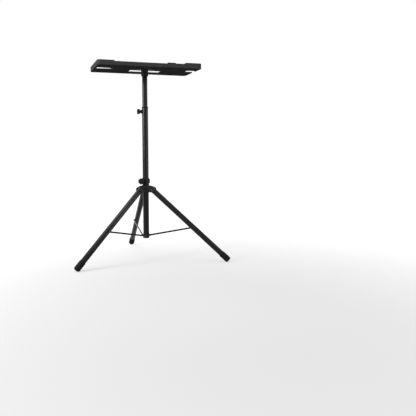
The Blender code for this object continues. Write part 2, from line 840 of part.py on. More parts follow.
# Clamp knob, its bolt and the nut behind the ears
clamp_turn = make_empty("clamp_turn", hub_slide, Matrix.Translation(bolt_centre) @ along(FRONT))
nut_start = -EAR_OUTER - GAP - CLAMP_NUT_THICKNESS
bolt_in_knob = EAR_OUTER + GAP + SCREW_SHARE_IN_KNOB * CLAMP_KNOB_LENGTH
hub_clamp_knob = make_object(
    "hub_clamp_knob",
    moved(
        star_knob(CLAMP_KNOB_RADIUS, CLAMP_KNOB_LENGTH, CLAMP_KNOB_NECK, CLAMP_KNOB_LOBES),
        Matrix.Translation((0, 0, EAR_OUTER + GAP)),
    ),
    plastic,
    clamp_turn,
)
cut(
    hub_clamp_knob,
    rod(CLAMP_BOLT_RADIUS + GAP, 0.9 * EAR_OUTER, bolt_in_knob + GAP),
    "clamp_knob_bore",
)
make_object(
    "hub_clamp_bolt",
    rod(CLAMP_BOLT_RADIUS, nut_start - CLAMP_BOLT_END, bolt_in_knob),
    zinc,
    clamp_turn,
)
hexagon = [
    (CLAMP_NUT_RADIUS * math.cos(math.radians(60 * i)),
     CLAMP_NUT_RADIUS * math.sin(math.radians(60 * i)))
    for i in range(6)
]
hub_clamp_nut = make_object(
    "hub_clamp_nut",
    moved(
        prism(hexagon, nut_start, nut_start + CLAMP_NUT_THICKNESS),
        Matrix.Translation(bolt_centre) @ along(FRONT),
    ),
    zinc,
    hub_slide,
)
cut(
    hub_clamp_nut,
    rod_along(FRONT, bolt_centre, CLAMP_BOLT_RADIUS + GAP, 2 * nut_start, 0),
    "nut_hole",
)


# Legs: steel tubes with a plug at the top and a rubber foot at the bottom
foot_r = FOOT_RADIUS
leg_bore = LEG_TUBE_OD / 2 - LEG_TUBE_WALL
leg_tube_end = -(LEG_LENGTH - FOOT_END - GAP)
foot_top = -(LEG_LENGTH - FOOT_GRIP - FOOT_END)
foot_profile = [(0, -LEG_LENGTH)]
for i in range(5):
    angle = math.radians(90 * i / 4)
    r = foot_r - FOOT_ROUNDING + FOOT_ROUNDING * math.sin(angle)
    foot_profile.append((r, -LEG_LENGTH + FOOT_ROUNDING - FOOT_ROUNDING * math.cos(angle)))
foot_profile.extend(
    [
        (foot_r, foot_top - FOOT_LIP),
        (foot_r - FOOT_LIP / 2, foot_top),
        (LEG_TUBE_OD / 2 + GAP, foot_top),
        (LEG_TUBE_OD / 2 + GAP, -LEG_LENGTH + FOOT_END),
        (0, -LEG_LENGTH + FOOT_END),
    ]
)


for label, azimuth in LEG_AZIMUTHS_DEG.items():
    turn = Matrix.Rotation(math.radians(azimuth), 4, "Z")
    lean = Matrix.Rotation(-SPREAD, 4, "Y")
    place = turn @ Matrix.Translation((LEG_PIVOT_RADIUS, 0, 0)) @ lean
    pivot = make_empty("leg_pivot_" + label, hub_slide, place)
    tube = make_object(
        "leg_tube_" + label,
        turned(ring_profile(leg_bore, LEG_TUBE_OD / 2, leg_tube_end, LEG_TOP_PAST_PIVOT)),
        steel,
        pivot,
    )
    cut(
        tube,
        rod_along((0, 1, 0), (0, 0, 0), LEG_RIVET_RADIUS + GAP, -LEG_TUBE_OD, LEG_TUBE_OD),
        "leg_rivet_hole_" + label,
    )
    plug_edge = LEG_TUBE_OD / 2
    make_object(
        "leg_plug_" + label,
        turned(
            [
                (0, LEG_TOP_PAST_PIVOT - LEG_PLUG_DEPTH),
                (leg_bore - GAP, LEG_TOP_PAST_PIVOT - LEG_PLUG_DEPTH),
                (leg_bore - GAP, LEG_TOP_PAST_PIVOT + GAP),
                (plug_edge, LEG_TOP_PAST_PIVOT + GAP),
                (plug_edge - LEG_PLUG_CHAMFER, LEG_TOP_PAST_PIVOT + GAP + 0.3 * LEG_PLUG_DOME),
                (plug_edge * 0.6, LEG_TOP_PAST_PIVOT + GAP + LEG_PLUG_DOME),
                (0, LEG_TOP_PAST_PIVOT + GAP + LEG_PLUG_DOME),
            ]
        ),
        plastic,
        pivot,
    )
    foot = make_object("leg_foot_" + label, turned(foot_profile), rubber, pivot)
    floor = moved(
        box((-0.2, -0.2, -0.2), (0.2, 0.2, 0.0)),
        lean.inverted() @ Matrix.Translation((LEG_LENGTH * math.sin(SPREAD), 0, -PIVOT_Z)),
    )
    cut(foot, floor, "foot_ground_face_" + label)


# Inner mast tube with the glide on its lower end
mast_height = make_empty("mast_height", stand, Matrix.Translation((0, 0, SOCKET_BOTTOM)))
inner_low = INNER_BOTTOM - SOCKET_BOTTOM
inner_high = INNER_TOP - SOCKET_BOTTOM
make_object(
    "mast_inner_tube",
    turned(ring_profile(INNER_BORE, INNER_R, inner_low, inner_high)),
    steel,
    mast_height,
)
glide_r = OUTER_BORE - GAP
make_object(
    "inner_tube_glide",
    turned(
        [
            (INNER_BORE - GAP - GLIDE_WALL, inner_low - GAP - GLIDE_FLANGE),
            (glide_r - GLIDE_CHAMFER, inner_low - GAP - GLIDE_FLANGE),
            (glide_r, inner_low - GLIDE_FLANGE + GLIDE_CHAMFER),
            (glide_r, inner_low - GAP),
            (INNER_BORE - GAP, inner_low - GAP),
            (INNER_BORE - GAP, inner_low + GLIDE_HEIGHT),
            (INNER_BORE - GAP - GLIDE_WALL, inner_low + GLIDE_HEIGHT),
        ]
    ),
    plastic,
    mast_height,
)


# Socket that sits on the inner tube and carries the tray
desk_turn = make_empty("desk_turn", stand, Matrix.Translation((0, 0, TRAY_Z)))
socket_low = SOCKET_BOTTOM - TRAY_Z
ceiling = SOCKET_CEILING - TRAY_Z
socket_r = SOCKET_OD / 2
plate_x, plate_y = SOCKET_PLATE
plate_rear = -SOCKET_PLATE_FORWARD + plate_y / 2
plate_front = plate_rear - plate_y
desk_socket = make_object(
    "desk_socket",
    prism(
        rounded_rectangle(
            -plate_x / 2, plate_front, plate_x / 2, plate_rear, SOCKET_PLATE_CORNER
        ),
        -SOCKET_FLANGE - GAP,
        -GAP,
    ),
    plastic,
    desk_turn,
)
join(
    desk_socket,
    turned(
        [
            (0, socket_low),
            (socket_r - SOCKET_CHAMFER, socket_low),
            (socket_r, socket_low + SOCKET_CHAMFER),
            (socket_r, -SOCKET_FLANGE - 2 * SOCKET_FLARE),
            (socket_r + SOCKET_FLARE * 0.3, -SOCKET_FLANGE * 0.9),
            (socket_r + SOCKET_FLARE * 0.3, -2 * GAP),
            (0, -2 * GAP),
        ]
    ),
    "socket_sleeve",
)
REAR = (0, 1, 0)
lock_z = -SOCKET_LOCK_DROP - SOCKET_FLANGE
socket_lock_centre = (0, 0, lock_z)
socket_boss_end = socket_r + SOCKET_BOSS_REACH
join(
    desk_socket,
    rod_along(REAR, socket_lock_centre, SOCKET_BOSS_RADIUS, socket_r * 0.8, socket_boss_end),
    "socket_boss",
)
screw_x, screw_y = SOCKET_SCREWS
screw_front = -SOCKET_PLATE_FORWARD - screw_y / 2
screw_rear = -SOCKET_PLATE_FORWARD + screw_y / 2
screw_places = {
    "front_left": (-screw_x / 2, screw_front),
    "front_right": (screw_x / 2, screw_front),
    "rear_left": (-screw_x / 2, screw_rear),
    "rear_right": (screw_x / 2, screw_rear),
}
socket_cuts = [
    rod_along((0, 0, 1), (x, y, 0), SCREW_RADIUS + GAP, -3 * SOCKET_FLANGE, SOCKET_FLANGE)
    for x, y in screw_places.values()
]
socket_cuts.append(
    turned(
        [
            (0, 1.5 * socket_low),
            (INNER_R + GAP, 1.5 * socket_low),
            (INNER_R + GAP, ceiling),
            (0, ceiling),
        ]
    )
)
cut(desk_socket, joined(socket_cuts), "socket_bores")
cut(
    desk_socket,
    rod_along(
        REAR, socket_lock_centre, SOCKET_LOCK_RADIUS + GAP, INNER_R * 0.5, 1.5 * socket_boss_end
    ),
    "socket_lock_hole",
)

socket_lock = make_empty(
    "socket_lock", desk_turn, Matrix.Translation(socket_lock_centre) @ along(REAR)
)
socket_knob_start = socket_boss_end + GAP
stud_end = socket_knob_start + SCREW_SHARE_IN_KNOB * SOCKET_KNOB_LENGTH
socket_lock_knob = make_object(
    "socket_lock_knob",
    moved(
        star_knob(SOCKET_KNOB_RADIUS, SOCKET_KNOB_LENGTH, SOCKET_KNOB_NECK),
        Matrix.Translation((0, 0, socket_knob_start)),
    ),
    plastic,
    socket_lock,
)
cut(
    socket_lock_knob,
    rod(SOCKET_LOCK_RADIUS + GAP, 0.9 * socket_knob_start, stud_end + GAP),
    "socket_knob_bore",
)
make_object(
    "socket_lock_screw",
    rod(SOCKET_LOCK_RADIUS, INNER_R + GAP, stud_end),
    zinc,
    socket_lock,
)


# Tray: one moulding with a skirt round its deck, a front lip, three bays and openings
half_x = TRAY_WIDTH / 2
front = TRAY_CENTRE_Y - TRAY_DEPTH / 2
rear = TRAY_CENTRE_Y + TRAY_DEPTH / 2
front_inner = front + TRAY_WALL
rear_inner = rear - TRAY_WALL
left_inner = -half_x + TRAY_WALL
right_inner = half_x - TRAY_WALL
left_divider = left_inner + TRAY_LEFT_BAY
right_divider = right_inner - TRAY_RIGHT_BAY
bottle_rear = front_inner + TRAY_BOTTLE_DEPTH
past = CUT_PAST

block = prism(
    rounded_rectangle(-half_x, front, half_x, rear, TRAY_CORNER, 5),
    -TRAY_SKIRT,
    TRAY_HIGH_RIM,
)
rim_edges = [
    edge
    for edge in block.edges
    if abs(edge.verts[0].co.z - edge.verts[1].co.z) < 1e-6
]
bmesh.ops.bevel(
    block,
    geom=rim_edges,
    offset=TRAY_EDGE_ROUND,
    segments=2,
    profile=0.5,
    affect="EDGES",
    clamp_overlap=True,
)
desk_tray = make_object("desk_tray", block, tray_plastic, desk_turn)
cut(
    desk_tray,
    box(
        (-half_x - past, front - past, TRAY_RIM),
        (right_divider - TRAY_DIVIDER, rear + past, TRAY_RIM + past),
    ),
    "tray_rim_step",
)

# The underside is hollow inside the skirt, with ribs left between the cells
cut(
    desk_tray,
    prism(
        rounded_rectangle(
            left_inner, front_inner, right_inner, rear_inner, TRAY_CORNER - TRAY_WALL, 5
        ),
        -past,
        -TRAY_RIB_DROP,
    ),
    "tray_underside",
)
inset = TRAY_CORNER - TRAY_WALL
columns = (
    left_inner + TRAY_RIB_ROOT,
    TRAY_RIB_X[0],
    TRAY_RIB_X[1],
    right_inner - TRAY_RIB_ROOT,
)
rows = (front_inner + TRAY_RIB_ROOT, TRAY_RIB_Y, rear_inner - TRAY_RIB_ROOT)
cells = []
for low_x, high_x in zip(columns, columns[1:]):
    for low_y, high_y in zip(rows, rows[1:]):
        outline = rounded_rectangle(
            low_x + TRAY_RIB / 2,
            low_y + TRAY_RIB / 2,
            high_x - TRAY_RIB / 2,
            high_y - TRAY_RIB / 2,
            inset,
        )
        cells.append(prism(outline, -past, 0))
cut(desk_tray, joined(cells), "tray_cells")


def bay(low_x, low_y, high_x, high_y):
    outline = rounded_rectangle(low_x, low_y, high_x, high_y, TRAY_POCKET_CORNER)
    return prism(outline, TRAY_DECK, TRAY_HIGH_RIM + past)


bays = [
    bay(left_inner, front_inner, left_divider, rear_inner),
    bay(left_divider + TRAY_DIVIDER, front_inner, right_divider - TRAY_DIVIDER, rear + past),
    bay(right_divider, front_inner, right_inner, bottle_rear),
    bay(right_divider, bottle_rear + TRAY_DIVIDER, half_x + past, rear + past),
]
cut(desk_tray, joined(bays), "tray_bays")


def lip_cut(low_x, high_x, drop):
    """A cut that takes this much off the top of the front wall."""
    return box(
        (low_x, front - past, TRAY_RIM - drop),
        (high_x, front_inner + TRAY_LIP_PAST_WALL, TRAY_RIM + past),
    )


lip_cuts = [
    lip_cut(left_inner + TRAY_LEFT_LIP, TRAY_RAISED_LIP[0], TRAY_LOW_LIP),
    lip_cut(TRAY_RAISED_LIP[1], right_divider - 1.5 * TRAY_DIVIDER, TRAY_SLOT_LIP),
]
cut(desk_tray, joined(lip_cuts), "tray_low_lip")
past_divider = left_divider + 2 * TRAY_DIVIDER
cut(
    desk_tray,
    box(
        (left_divider - GAP, front_inner - 2 * GAP, TRAY_RIM - TRAY_LOW_LIP),
        (past_divider, rear + past, TRAY_RIM + past),
    ),
    "tray_divider_step",
)
cut(
    desk_tray,
    box(
        (-half_x - past, rear_inner - TRAY_LIP_PAST_WALL, TRAY_RIM - TRAY_BACK_LIP),
        (past_divider - GAP, rear + past, TRAY_RIM + past),
    ),
    "tray_back_lip",
)

left_slot = rounded_polygon(
    (
        (LEFT_SLOT_X[0], LEFT_SLOT_Y[0]),
        (LEFT_SLOT_X[1], LEFT_SLOT_Y[0] + LEFT_SLOT_TAPER),
        (LEFT_SLOT_X[1], LEFT_SLOT_Y[1] - LEFT_SLOT_TAPER),
        (LEFT_SLOT_X[0], LEFT_SLOT_Y[1]),
    ),
    SLOT_CORNER,
)
centre_slot = rounded_rectangle(
    CENTRE_SLOT_X[0], CENTRE_SLOT_Y[0], CENTRE_SLOT_X[1], CENTRE_SLOT_Y[1], SLOT_CORNER
)
notch = rounded_rectangle(
    half_x - NOTCH_WIDTH, NOTCH_Y[0], half_x + past, NOTCH_Y[1], SLOT_CORNER
)
openings = [prism(shape, -past, TRAY_DECK + past) for shape in (left_slot, centre_slot, notch)]
cut(desk_tray, joined(openings), "tray_openings")
screw_holes = [
    rod_along((0, 0, 1), (x, y, 0), SCREW_RADIUS + GAP, -past, SCREW_BITE + GAP)
    for x, y in screw_places.values()
]
cut(desk_tray, joined(screw_holes), "tray_screw_holes")

head_top = -SOCKET_FLANGE - 2 * GAP
for label, (x, y) in screw_places.items():
    make_object(
        "tray_screw_" + label,
        moved(
            turned(
                [
                    (0, head_top - SCREW_HEAD),
                    (SCREW_HEAD_RADIUS * 0.6, head_top - SCREW_HEAD),
                    (SCREW_HEAD_RADIUS, head_top - 0.4 * SCREW_HEAD),
                    (SCREW_HEAD_RADIUS, head_top),
                    (SCREW_RADIUS, head_top),
                    (SCREW_RADIUS, SCREW_BITE),
                    (0, SCREW_BITE),
                ],
                16,
            ),
            Matrix.Translation((x, y, 0)),
        ),
        black_fastener,
        desk_turn,
    )


# The origin goes under the middle of the whole outline
bpy.context.view_layer.update()
graph = bpy.context.evaluated_depsgraph_get()
low = Vector((math.inf, math.inf, math.inf))
high = -low
for obj in bpy.data.objects:
    if obj.type != "MESH" or obj.hide_render:
        continue
    evaluated = obj.evaluated_get(graph)
    for corner_point in evaluated.bound_box:
        point = evaluated.matrix_world @ Vector(corner_point)
        low = Vector(map(min, low, point))
        high = Vector(map(max, high, point))
stand.location = (-(low.x + high.x) / 2, -(low.y + high.y) / 2, 0)
bpy.context.view_layer.update()
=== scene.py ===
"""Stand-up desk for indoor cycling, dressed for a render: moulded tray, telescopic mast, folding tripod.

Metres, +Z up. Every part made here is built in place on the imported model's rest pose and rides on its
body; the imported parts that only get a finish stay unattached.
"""

import math

import bmesh
import bpy
from mathutils import Matrix, Vector


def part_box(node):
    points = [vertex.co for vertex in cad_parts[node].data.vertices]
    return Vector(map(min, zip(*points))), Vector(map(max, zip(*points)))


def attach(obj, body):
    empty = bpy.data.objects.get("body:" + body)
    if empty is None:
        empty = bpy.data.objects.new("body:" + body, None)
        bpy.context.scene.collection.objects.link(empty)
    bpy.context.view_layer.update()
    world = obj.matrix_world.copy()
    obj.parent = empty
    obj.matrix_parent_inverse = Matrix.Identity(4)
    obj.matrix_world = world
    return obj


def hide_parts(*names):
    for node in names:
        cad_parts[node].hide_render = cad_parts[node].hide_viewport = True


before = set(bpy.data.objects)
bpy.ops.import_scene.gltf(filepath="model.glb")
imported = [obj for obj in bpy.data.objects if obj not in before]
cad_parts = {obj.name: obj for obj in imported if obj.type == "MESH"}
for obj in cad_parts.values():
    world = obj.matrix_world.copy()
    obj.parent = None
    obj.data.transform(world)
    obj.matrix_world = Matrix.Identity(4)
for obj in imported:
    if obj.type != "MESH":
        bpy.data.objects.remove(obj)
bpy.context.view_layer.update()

# Outer mast tube: a drawn steel tube of 35 mm, cut square and deburred, powder coated satin black.
# It is the fixed spine of the stand. A moulded plug with a flange is pressed into its lower end,
# and a moulded bush in its upper end guides the inner tube.
OUTER_R = 0.0175
OUTER_BORE = 0.0163
TUBE_EDGE = 0.0004
FIT_GAP = 0.0003


def middle(node):
    """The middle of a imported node's box."""
    low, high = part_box(node)
    return (low + high) / 2


MAST_Y = middle("mast_outer_tube").y
MAST = Matrix.Translation((0, MAST_Y, 0))
TUBE_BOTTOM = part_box("mast_outer_tube")[0].z
TUBE_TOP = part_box("mast_outer_tube")[1].z


class Field:
    """One socket of a finish. Arithmetic on it adds Math nodes."""

    def __init__(self, finish, socket):
        self.finish = finish
        self.socket = socket

    def maths(self, operation, first, second, limit=False):
        made = self.finish.node(
            "ShaderNodeMath", {"operation": operation, "use_clamp": limit}, {0: first, 1: second}
        )
        return made["Value"]

    def __add__(self, other):
        return self.maths("ADD", self, other)

    __radd__ = __add__

    def __sub__(self, other):
        return self.maths("SUBTRACT", self, other)

    def __rsub__(self, other):
        return self.maths("SUBTRACT", other, self)

    def __mul__(self, other):
        return self.maths("MULTIPLY", self, other)

    __rmul__ = __mul__

    def limited(self):
        """Kept between 0 and 1."""
        return self.maths("ADD", self, 0.0, limit=True)


class Finish:
    """A procedural finish whose patterns lie in the part's own metres."""

    def __init__(self, name, metallic=0.0, specular=0.5):
        self.material = bpy.data.materials.new(name)
        self.material.use_nodes = True
        self.tree = self.material.node_tree
        self.shader = self.tree.nodes["Principled BSDF"]
        self.shader.inputs["Metallic"].default_value = metallic
        self.shader.inputs["Specular IOR Level"].default_value = specular
        self.place = self.node("ShaderNodeTexCoord")["Object"]

    def find(self, sockets, key):
        if isinstance(key, int):
            return sockets[key]
        return next(s for s in sockets if s.enabled and key in (s.identifier, s.name))

    def node(self, kind, settings=None, values=None):
        """Adds a node, sets it up, feeds its sockets, and gives its outputs by name."""
        made = self.tree.nodes.new(kind)
        for key, value in (settings or {}).items():
            setattr(made, key, value)
        for key, value in (values or {}).items():
            self.feed(self.find(made.inputs, key), value)
        return {out.name: Field(self, out) for out in made.outputs if out.enabled}

    def feed(self, socket, value):
        if isinstance(value, Field):
            self.tree.links.new(value.socket, socket)
        else:
            socket.default_value = value

    def grain(self, scale, detail=3.0, stretch=(1, 1, 1)):
        """Noise from 0 to 1 with this many features to the metre."""
        place = self.node(
            "ShaderNodeVectorMath", {"operation": "MULTIPLY"}, {0: self.place, 1: stretch}
        )["Vector"]
        return self.node(
            "ShaderNodeTexNoise",
            {},
            {"Vector": place, "Scale": scale, "Detail": detail, "Roughness": 0.55},
        )["Fac"]

    def step(self, value, low, high):
        """0 below low, 1 above high, and smooth between."""
        return self.node(
            "ShaderNodeMapRange",
            {"interpolation_type": "SMOOTHSTEP"},
            {"Value": value, "From Min": low, "From Max": high},
        )["Result"]

    def edges(self, radius):
        """1 on sharp edges, falling to 0 this far from them."""
        rounded = self.node("ShaderNodeBevel", {"samples": 4}, {"Radius": radius})["Normal"]
        plain = self.node("ShaderNodeNewGeometry")["Normal"]
        facing = self.node(
            "ShaderNodeVectorMath", {"operation": "DOT_PRODUCT"}, {0: rounded, 1: plain}
        )["Value"]
        return self.step(1 - facing, 0.02, 0.22)

    def blend(self, mask, low, high):
        """One colour where the mask is 0 and the other where it is 1."""
        made = self.node(
            "ShaderNodeMix",
            {"data_type": "RGBA"},
            {"Factor_Float": mask, "A_Color": low, "B_Color": high},
        )
        return made["Result"]

    def finished(self, colour, roughness, height, depth, soft_edge=0.0):
        """Feeds the shader. The height, from 0 to 1, stands for this depth in metres."""
        bump = {"Height": height, "Distance": depth, "Strength": 1.0}
        if soft_edge:
            bump["Normal"] = self.node(
                "ShaderNodeBevel", {"samples": 6}, {"Radius": soft_edge}
            )["Normal"]
        normal = self.node("ShaderNodeBump", {}, bump)["Normal"]
        self.feed(self.shader.inputs["Base Color"], colour)
        self.feed(self.shader.inputs["Roughness"], roughness)
        self.feed(self.shader.inputs["Normal"], normal)
        return self.material


def powder_coat():
    """Satin black powder on steel: orange peel, uneven gloss, and edges rubbed a little bare."""
    coat = Finish("satin_black_powder_coat", specular=0.15)
    peel = coat.grain(420, 2.0)
    speck = coat.grain(2600, 1.0)
    cloud = coat.grain(9, 4.0)
    rub = coat.step(coat.grain(60, 5.0, (1, 1, 0.25)), 0.60, 0.76)
    edge = (coat.edges(0.0012) * coat.step(coat.grain(140), 0.35, 0.65)).limited()
    black = coat.blend(cloud, (0.0065, 0.0065, 0.0068, 1), (0.0125, 0.0125, 0.0130, 1))
    handled = coat.blend(rub * 0.15, black, (0.018, 0.018, 0.019, 1))
    colour = coat.blend(edge * 0.6, handled, (0.060, 0.059, 0.058, 1))
    roughness = 0.16 + cloud * 0.06 + rub * 0.03 + edge * 0.12
    return coat.finished(colour, roughness, peel * 0.85 + speck * 0.15, 0.000010)


def moulded_black():
    """Black nylon moulding: fine eroded grain, and edges polished grey by hands."""
    nylon = Finish("black_moulded_nylon", specular=0.12)
    pit = nylon.node(
        "ShaderNodeTexVoronoi",
        {"feature": "F1"},
        {"Vector": nylon.place, "Scale": 1500.0, "Randomness": 1.0},
    )["Distance"]
    cloud = nylon.grain(22, 4.0)
    scuff = nylon.step(nylon.grain(260, 6.0, (1, 1, 0.3)), 0.62, 0.72)
    edge = nylon.edges(0.0014)
    black = nylon.blend(cloud, (0.0065, 0.0065, 0.0070, 1), (0.0130, 0.0130, 0.0137, 1))
    scuffed = nylon.blend(scuff * 0.5, black, (0.028, 0.028, 0.029, 1))
    colour = nylon.blend(edge * 0.40, scuffed, (0.045, 0.045, 0.047, 1))
    roughness = 0.42 + cloud * 0.12 - edge * 0.08 + scuff * 0.06
    return nylon.finished(colour, roughness, pit, 0.00004, soft_edge=0.0008)


steel = powder_coat()
nylon = moulded_black()


def softened(profile, radius, closed, steps=3):
    """Rounds the corners of a profile of (radius, height) points, where there is room."""
    points = []
    count = len(profile)
    for i, here in enumerate(profile):
        if not closed and i in (0, count - 1):
            points.append(here)
            continue
        at = Vector(here)
        back = Vector(profile[i - 1]) - at
        ahead = Vector(profile[(i + 1) % count]) - at
        turn = back.angle(ahead)
        if turn > math.radians(172):
            points.append(here)
            continue
        reach = min(radius / math.tan(turn / 2), 0.45 * back.length, 0.45 * ahead.length)
        start = at + back.normalized() * reach
        end = at + ahead.normalized() * reach
        for step in range(steps + 1):
            share = step / steps
            curve = start * (1 - share) ** 2 + at * 2 * share * (1 - share) + end * share**2
            points.append(tuple(curve))
    return points


def outward(bm):
    bmesh.ops.recalc_face_normals(bm, faces=bm.faces)
    if bm.calc_volume(signed=True) < 0:
        bmesh.ops.reverse_faces(bm, faces=bm.faces)
    return bm


def lathe(profile, closed=False, round_off=TUBE_EDGE, count=96):
    """A mesh turned about Z. An open profile starts and ends on the axis."""
    bm = bmesh.new()
    rings = []
    for r, z in softened(profile, round_off, closed):
        if r < 1e-7:
            rings.append([bm.verts.new((0, 0, z))] * count)
            continue
        angles = (2 * math.pi * i / count for i in range(count))
        rings.append([bm.verts.new((r * math.cos(a), r * math.sin(a), z)) for a in angles])
    pairs = list(zip(rings, rings[1:]))
    if closed:
        pairs.append((rings[-1], rings[0]))
    for lower, upper in pairs:
        for i in range(count):
            j = (i + 1) % count
            corners = list(dict.fromkeys((lower[i], lower[j], upper[j], upper[i])))
            if len(corners) > 2:
                bm.faces.new(corners)
    return outward(bm)


def fitted(name, bm, matrix, finish, body, slot, *replaced):
    """Puts a mesh in its place on a body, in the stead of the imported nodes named."""
    bm.transform(matrix)
    mesh = bpy.data.meshes.new(name)
    bm.to_mesh(mesh)
    bm.free()
    mesh.materials.append(finish)
    mesh.shade_smooth()
    mesh.set_sharp_from_angle(angle=math.radians(38))
    obj = bpy.data.objects.new(name, mesh)
    bpy.context.scene.collection.objects.link(obj)
    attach(obj, body)
    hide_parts(*replaced)
    return obj


def tube_profile(bore, outer, low, high):
    return [(bore, low), (outer, low), (outer, high), (bore, high)]


fitted(
    "outer_tube",
    lathe(tube_profile(OUTER_BORE, OUTER_R, TUBE_BOTTOM, TUBE_TOP), closed=True),
    MAST, steel, "base", "black_steel", "mast_outer_tube",
)

PLUG_R = 0.0185
PLUG_TOP = TUBE_BOTTOM + 0.018
PLUG_FACE = TUBE_BOTTOM - 0.0043
fitted(
    "lower_plug",
    lathe(
        [
            (0, PLUG_FACE + 0.0010),
            (0.0030, PLUG_FACE + 0.0010),
            (0.0034, PLUG_FACE + 0.0016),
            (0.0125, PLUG_FACE + 0.0016),
            (0.0138, PLUG_FACE),
            (PLUG_R - 0.0012, PLUG_FACE),
            (PLUG_R, PLUG_FACE + 0.0012),
            (PLUG_R, TUBE_BOTTOM - FIT_GAP),
            (0.0160, TUBE_BOTTOM - FIT_GAP),
            (0.0160, PLUG_TOP),
            (0.0140, PLUG_TOP),
            (0.0140, TUBE_BOTTOM),
            (0, TUBE_BOTTOM),
        ]
    ),
    MAST, nylon, "base", "black_plastic", "mast_end_plug",
)

BUSH_R = 0.01975
BUSH_BORE = 0.0153
BUSH_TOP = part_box("tube_bush")[1].z
fitted(
    "guide_bush",
    lathe(
        [
            (BUSH_BORE, TUBE_TOP - 0.045),
            (0.0160, TUBE_TOP - 0.045),
            (0.0160, TUBE_TOP + FIT_GAP),
            (BUSH_R, TUBE_TOP + FIT_GAP),
            (BUSH_R, TUBE_TOP + 0.0022),
            (BUSH_R - 0.0004, TUBE_TOP + 0.0025),
            (BUSH_R, TUBE_TOP + 0.0028),
            (BUSH_R, BUSH_TOP - 0.0016),
            (BUSH_R - 0.0016, BUSH_TOP),
            (BUSH_BORE + 0.0008, BUSH_TOP),
            (BUSH_BORE, BUSH_TOP - 0.0008),
        ],
        closed=True,
    ),
    MAST, nylon, "base", "black_plastic", "tube_bush",
)


# Inner mast tube: a drawn steel tube of 30 mm that slides in the outer one and sets the tray's
# height. It has the same coat, and a moulded glide is pressed into its lower end to stop rattle.
INNER_R = 0.015
INNER_BORE = 0.0138
INNER_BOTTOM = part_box("mast_inner_tube")[0].z
INNER_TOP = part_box("mast_inner_tube")[1].z
fitted(
    "inner_tube",
    lathe(tube_profile(INNER_BORE, INNER_R, INNER_BOTTOM, INNER_TOP), closed=True),
    MAST, steel, "upper_mast", "black_steel", "mast_inner_tube",
)

GLIDE_LOW = INNER_BOTTOM - 0.0063
fitted(
    "lower_glide",
    lathe(
        [
            (0.0115, GLIDE_LOW),
            (0.0150, GLIDE_LOW),
            (0.0160, GLIDE_LOW + 0.0013),
            (0.0160, INNER_BOTTOM - FIT_GAP),
            (0.0135, INNER_BOTTOM - FIT_GAP),
            (0.0135, INNER_BOTTOM + 0.0200),
            (0.0115, INNER_BOTTOM + 0.0200),
        ],
        closed=True,
    ),
    MAST, nylon, "upper_mast", "black_plastic", "inner_tube_glide",
)


# Height lock: a threaded steel boss welded to the outer tube, and a moulded star knob on a zinc
# plated screw whose tip clamps the inner tube. The weld runs round the boss as a fillet.
LOCK_Z = middle("height_lock_screw").z
BOSS_R = 0.011
BOSS_END = 0.0255
THREAD_EDGE = 0.00005
WELD_R = 0.0012
WELD_STEPS = 72
WELD_SIDES = 10


def zinc_plate():
    """Zinc plated steel: dull silver with cloudy passivation and fine drawn scratches."""
    zinc = Finish("zinc_plated_steel", metallic=1.0)
    cloud = zinc.grain(180, 4.0)
    scratch = zinc.grain(900, 3.0, (1, 1, 0.08))
    edge = zinc.edges(0.0006)
    dull = zinc.blend(cloud, (0.20, 0.20, 0.20, 1), (0.34, 0.335, 0.32, 1))
    colour = zinc.blend(edge * 0.6, dull, (0.50, 0.49, 0.47, 1))
    roughness = 0.34 + cloud * 0.20 - edge * 0.10
    return zinc.finished(colour, roughness, scratch, 0.00003)


zinc = zinc_plate()


def pointing(direction, centre):
    """Places a mesh made along +Z on the mast's side, pointing this way."""
    turn = Vector(direction).to_track_quat("Z", "Y").to_matrix().to_4x4()
    return MAST @ Matrix.Translation(centre) @ turn


def star_grip(radius, length, neck, lobes, centre_cap):
    """A lobed hand knob along +Z from 0: neck, flared back, soft lobes and a capped face."""
    count = lobes * 14
    depth = 0.17 * radius
    cap = centre_cap * radius
    stations = [
        (0.000, neck - 0.0004, 0.0),
        (0.020, neck, 0.0),
        (0.240, neck, 0.0),
        (0.290, neck + 0.04 * radius, 0.1),
        (0.325, neck + 0.16 * radius, 0.35),
        (0.340, 0.80 * radius, 0.75),
        (0.352, 0.93 * radius, 0.95),
        (0.385, 0.985 * radius, 1.0),
        (0.440, radius, 1.0),
        (0.780, radius, 1.0),
        (0.860, 0.985 * radius, 0.98),
        (0.915, 0.945 * radius, 0.92),
        (0.955, 0.880 * radius, 0.80),
        (0.975, 0.780 * radius, 0.55),
        (0.970, 0.640 * radius, 0.20),
        (0.955, cap + 0.06 * radius, 0.0),
        (0.945, cap + 0.02 * radius, 0.0),
        (0.950, cap, 0.0),
        (0.985, cap - 0.01 * radius, 0.0),
        (1.000, cap - 0.07 * radius, 0.0),
        (1.000, 0.10 * radius, 0.0),
    ]
    bm = bmesh.new()
    rings = []
    for share, size, lobed in stations:
        ring = []
        for i in range(count):
            angle = 2 * math.pi * i / count
            r = size - depth * lobed * (0.5 - 0.5 * math.cos(lobes * angle)) ** 1.5
            ring.append(bm.verts.new((r * math.cos(angle), r * math.sin(angle), share * length)))
        rings.append(ring)
    for lower, upper in zip(rings, rings[1:]):
        for i in range(count):
            j = (i + 1) % count
            bm.faces.new((lower[i], lower[j], upper[j], upper[i]))
    bm.faces.new(reversed(rings[0]))
    bm.faces.new(rings[-1])
    return outward(bm)


LEFT = (-1, 0, 0)
lock_place = pointing(LEFT, (0, 0, LOCK_Z))
fitted(
    "height_knob_grip",
    star_grip(radius=0.016, length=0.020, neck=0.0085, lobes=6, centre_cap=0.42),
    lock_place @ Matrix.Translation((0, 0, BOSS_END + FIT_GAP)),
    nylon, "height_knob", "black_plastic", "height_lock_knob",
)


